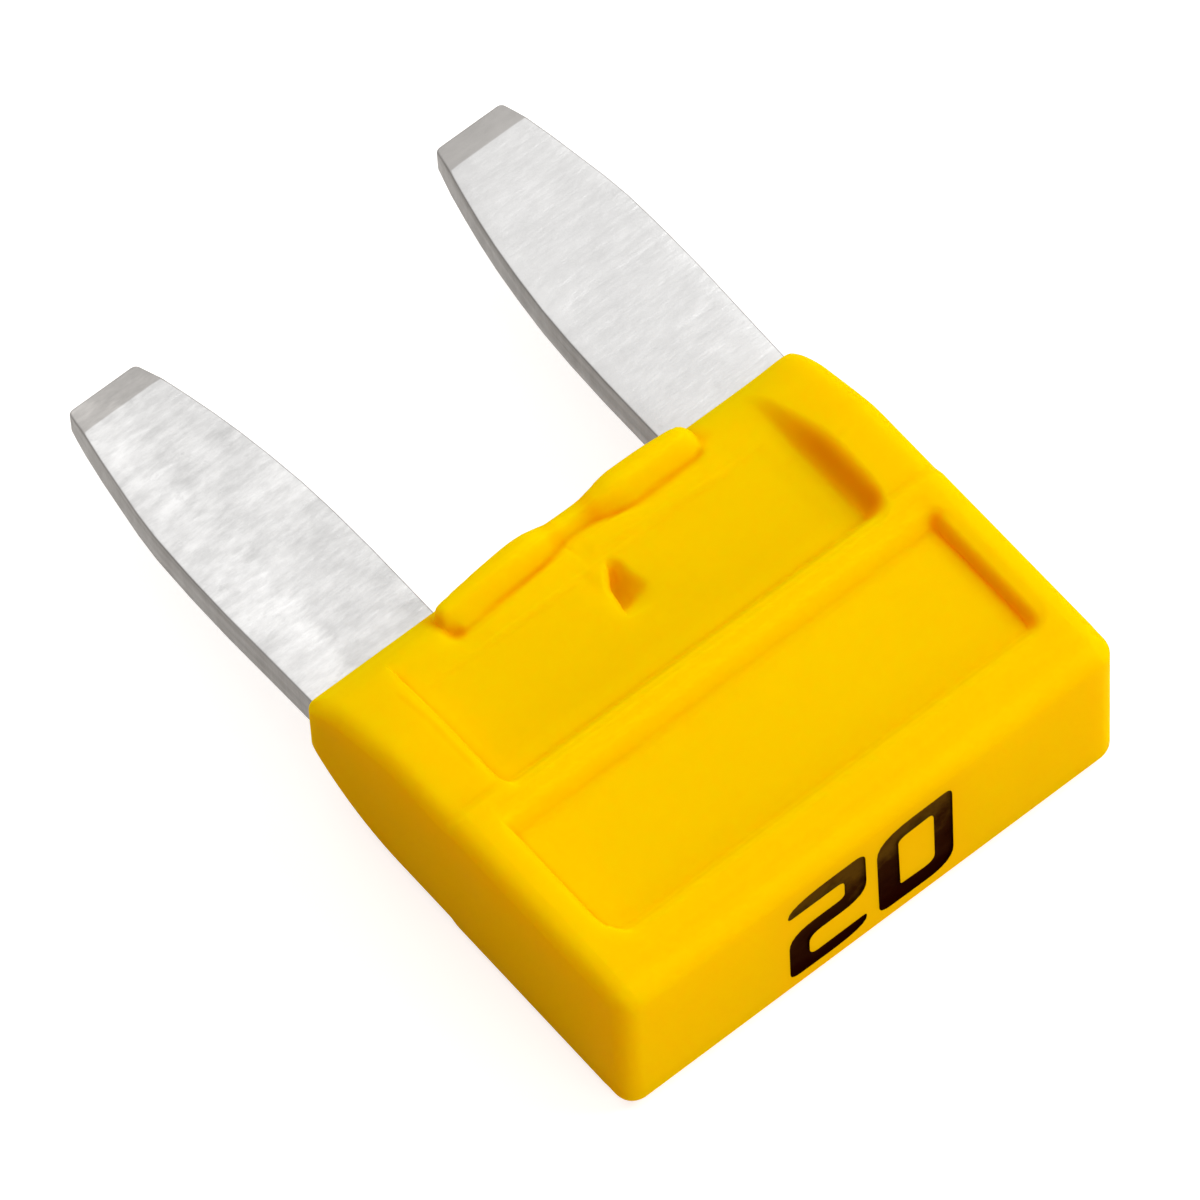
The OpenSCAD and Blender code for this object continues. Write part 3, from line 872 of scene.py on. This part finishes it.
def metal_material():
    mat, tree, shader = new_material("tinned_metal")
    split = tree.nodes.new("ShaderNodeSeparateXYZ")
    tree.links.new(tree.nodes.new("ShaderNodeNewGeometry").outputs["Normal"], split.inputs[0])
    # cut marks the cut edges, the side faces, which get painted shade below
    cut = ramp(tree, math_node(tree, "ABSOLUTE", split.outputs[2]), [(0.74, grey(1.0)), (0.95, grey(0.0))])
    streaks = noise(tree, (900, 4200, 900), 4.0, 0.6)
    cloud = noise(tree, (1500, 2200, 1500), 5.0, 0.65)
    zone = noise(tree, (380, 300, 380), 3.0, 0.5)
    face = mix_colour(tree, 0.38, ramp(tree, cloud, [(0.34, grey(0.58)), (0.50, grey(0.69)), (0.64, grey(0.79))]),
                      ramp(tree, streaks, [(0.36, grey(0.61)), (0.5, grey(0.69)), (0.62, grey(0.76))]))
    face = mix_colour(tree, 1.0, face, ramp(tree, zone, [(0.40, grey(0.94)), (0.60, grey(1.05))]), "MULTIPLY")
    speck = ramp(tree, noise(tree, (4200, 4200, 4200), 2.0, 0.5), [(0.24, grey(0.72)), (0.30, grey(1.0))])
    face = mix_colour(tree, 0.35, face, speck, "MULTIPLY")
    place = object_axes(tree)
    # The left blade is more streaked than the right one
    on_left = math_node(tree, "LESS_THAN", place[0], 0.0)
    calm = math_node(tree, "SUBTRACT", 0.45, multiply(tree, on_left, 0.45))
    face = mix_colour(tree, calm, face, grey(0.69))
    scratch = ramp(tree, noise(tree, (1300, 5200, 1300), 4.0, 0.7), [(0.40, grey(0.94)), (0.58, grey(1.045))])
    face = mix_colour(tree, on_left, face, scratch, "MULTIPLY")
    # A paler worn band with a ragged border, along the outer half of the left blade
    ragged = math_node(tree, "ADD", multiply(tree, streaks, 0.0022), place[0])
    across = multiply(tree, math_node(tree, "ADD", ragged, 0.0037), 1 / MM)
    worn = ramp(tree, across, [(0.42, grey(1.12)), (0.66, grey(0.98))])
    face = mix_colour(tree, 1.0, face, worn, "MULTIPLY")
    # The coined tips are greyer. The cut edges all round get a dark grey base, which is painted shade on side faces
    # that turn away from the light
    coined = ramp(tree, split.outputs[1], [(0.10, grey(1.0)), (0.16, (0.67, 0.65, 0.63, 1))])
    face = mix_colour(tree, 1.0, face, coined, "MULTIPLY")
    side = ramp(tree, noise(tree, (900, 300, 5200), 4.0),
                [(0.3, (0.165, 0.16, 0.15, 1)), (0.7, (0.27, 0.265, 0.26, 1))])
    tree.links.new(mix_colour(tree, cut, face, side), shader.inputs["Base Color"])
    shader.inputs["Metallic"].default_value = 0.8
    rough = ramp(tree, streaks, [(0.3, grey(0.48)), (0.7, grey(0.36))])
    tree.links.new(rough, shader.inputs["Roughness"])
    height = math_node(tree, "ADD", multiply(tree, streaks, 0.8), multiply(tree, cloud, 0.7))
    bump(tree, shader, height, 0.6, 0.00003)
    return mat


def ink_material():
    """Black with a brown cast, paler in patches towards the upper face: the paler upper part is a painted highlight.
    """
    mat, tree, shader = new_material("black_ink")
    # up makes the ink paler towards the upper face, a painted highlight
    up = multiply(tree, object_axes(tree)[2], 1 / (BODY_T * MM))
    patch = multiply(tree, noise(tree, (1600, 1600, 1600), 5.0, 0.65), 0.8)
    level = math_node(tree, "SUBTRACT", math_node(tree, "ADD", up, patch), 0.40)
    colour = ramp(tree, level,
                  [(0.22, (0.012, 0.001, 0.0, 1)), (0.52, (0.025, 0.007, 0.001, 1)),
                   (0.75, (0.085, 0.044, 0.004, 1))])
    tree.links.new(colour, shader.inputs["Base Color"])
    rough = ramp(tree, noise(tree, (2200, 2200, 2200), 3.0), [(0.3, grey(0.42)), (0.7, grey(0.56))])
    tree.links.new(rough, shader.inputs["Roughness"])
    shader.inputs["Specular IOR Level"].default_value = 0.004
    shader.inputs["IOR"].default_value = 1.15
    bump(tree, shader, noise(tree, (1500, 1500, 1500), 3.0), 0.5, 0.00002)
    return mat


def dress(obj, node, mat):
    """Give a piece its material, and say which node of the CAD it replaces."""
    obj.data.materials.append(mat)
    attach(obj, "root")
    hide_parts(node)


add_camera()
add_lights()
add_floor()
dress(make_housing(), "housing", plastic_material())
dress(make_element(), "fuse_element", metal_material())
dress(make_digits(), "rating_digits", ink_material())
bpy.context.scene.view_settings.view_transform = "Standard"
